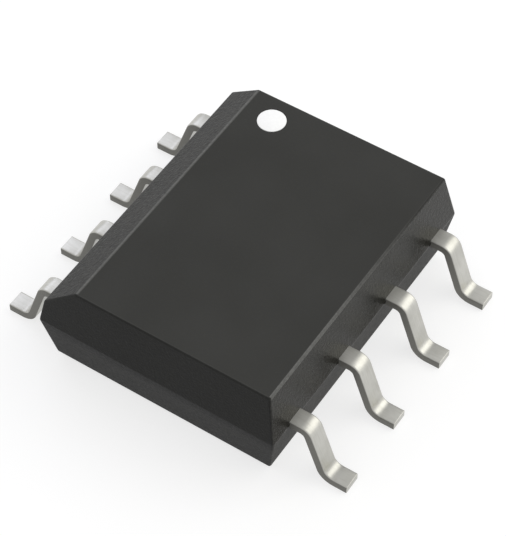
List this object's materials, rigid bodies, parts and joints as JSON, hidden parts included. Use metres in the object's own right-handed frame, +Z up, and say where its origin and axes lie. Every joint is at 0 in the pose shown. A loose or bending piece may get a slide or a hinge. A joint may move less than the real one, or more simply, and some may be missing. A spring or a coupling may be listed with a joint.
{
  "type": "soic chip",
  "caption": "Small-outline chip for surface mounting: a bevelled dark moulded body on two rows of gull-wing leads, with a white dot at pin one.",
  "frame": {"origin": "on the seating plane, under the middle of the body", "axes": "+X across the body from the row of pins 1 to 4 to the row of pins 5 to 8, +Y along the body towards the end with pins 1 and 8, +Z up"},
  "size_m": [0.0058, 0.005, 0.0018],
  "materials": {
    "mould_compound": "fine matt, as moulded",
    "white_ink": "flat ink",
    "tin_plate": "matt tin plate over copper alloy",
    "copper_alloy": "rolled sheet",
    "die_attach": "cured silver-filled epoxy",
    "silicon": "polished",
    "gold_wire": "bright drawn wire"
  },
  "bodies": {
    "root": {"package_body": "mould_compound", "pin_one_mark": "white_ink", "lead_1": "tin_plate", "lead_2": "tin_plate", "lead_3": "tin_plate", "lead_4": "tin_plate", "lead_5": "tin_plate", "lead_6": "tin_plate", "lead_7": "tin_plate", "lead_8": "tin_plate", "die_pad": "copper_alloy", "die_attach": "die_attach", "die": "silicon", "bond_wire_1": "gold_wire", "bond_wire_2": "gold_wire", "bond_wire_3": "gold_wire", "bond_wire_4": "gold_wire", "bond_wire_5": "gold_wire", "bond_wire_6": "gold_wire", "bond_wire_7": "gold_wire", "bond_wire_8": "gold_wire"}
  },
  "joints": []
}
